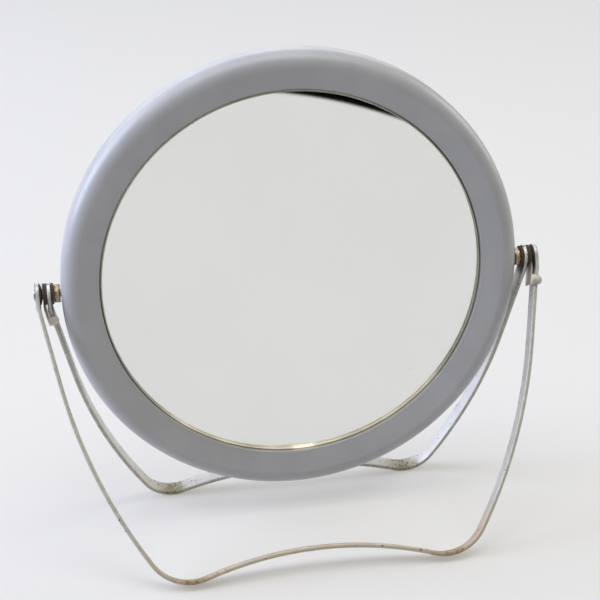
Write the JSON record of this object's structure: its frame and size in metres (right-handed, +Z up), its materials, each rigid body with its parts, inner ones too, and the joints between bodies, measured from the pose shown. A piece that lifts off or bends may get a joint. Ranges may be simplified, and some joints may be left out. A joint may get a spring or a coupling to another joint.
{
  "type": "shaving mirror",
  "caption": "Free-standing round shaving mirror: a plastic casing with a magnifying glass in front and a plain one behind, tilting between two folding metal strip legs.",
  "frame": {"origin": "middle of the bounding box, level with the floor the two feet stand on", "axes": "+Z up; the magnifying front glass faces -Y; the pivots' common axis runs along X"},
  "size_m": [0.1946, 0.0782, 0.1861],
  "materials": {
    "casing_plastic": "moulded plastic, satin gloss, lavender grey",
    "mirror_glass": "silvered glass",
    "card": "plain grey-brown card",
    "gasket_rubber": "soft black rubber",
    "brass": "turned, tarnished",
    "nickel_plated_steel": "plated, worn and lightly pitted",
    "dull_steel": "stamped, unplated and grimy"
  },
  "bodies": {
    "front_frame": {"front_leg": "nickel_plated_steel", "right_stop_plate": "dull_steel", "left_spring_washer": "dull_steel", "right_spring_washer": "dull_steel"},
    "rear_frame": {"rear_leg": "nickel_plated_steel", "left_stop_plate": "dull_steel", "left_leg_washer": "dull_steel", "right_leg_washer": "dull_steel"},
    "mirror": {"casing": "casing_plastic", "front_glass": "mirror_glass", "rear_glass": "mirror_glass", "rear_backing_card": "card", "front_gasket": "gasket_rubber", "left_threaded_insert": "brass", "left_barrel_spacer": "brass", "left_barrel_washer": "dull_steel", "left_pivot_pin": "nickel_plated_steel", "right_threaded_insert": "brass", "right_barrel_spacer": "brass", "right_barrel_washer": "dull_steel", "right_pivot_pin": "nickel_plated_steel"}
  },
  "joints": [
    {"name": "rear_leg_fold", "type": "hinge", "parent": "front_frame", "child": "rear_frame", "pos_m": [0, 0.01771, 0.099], "axis": [-1, 0, 0], "range_deg": [0, 38]},
    {"name": "mirror_tilt", "type": "hinge", "parent": "front_frame", "child": "mirror", "pos_m": [0, 0.01771, 0.099], "axis": [1, 0, 0], "continuous": true}
  ]
}
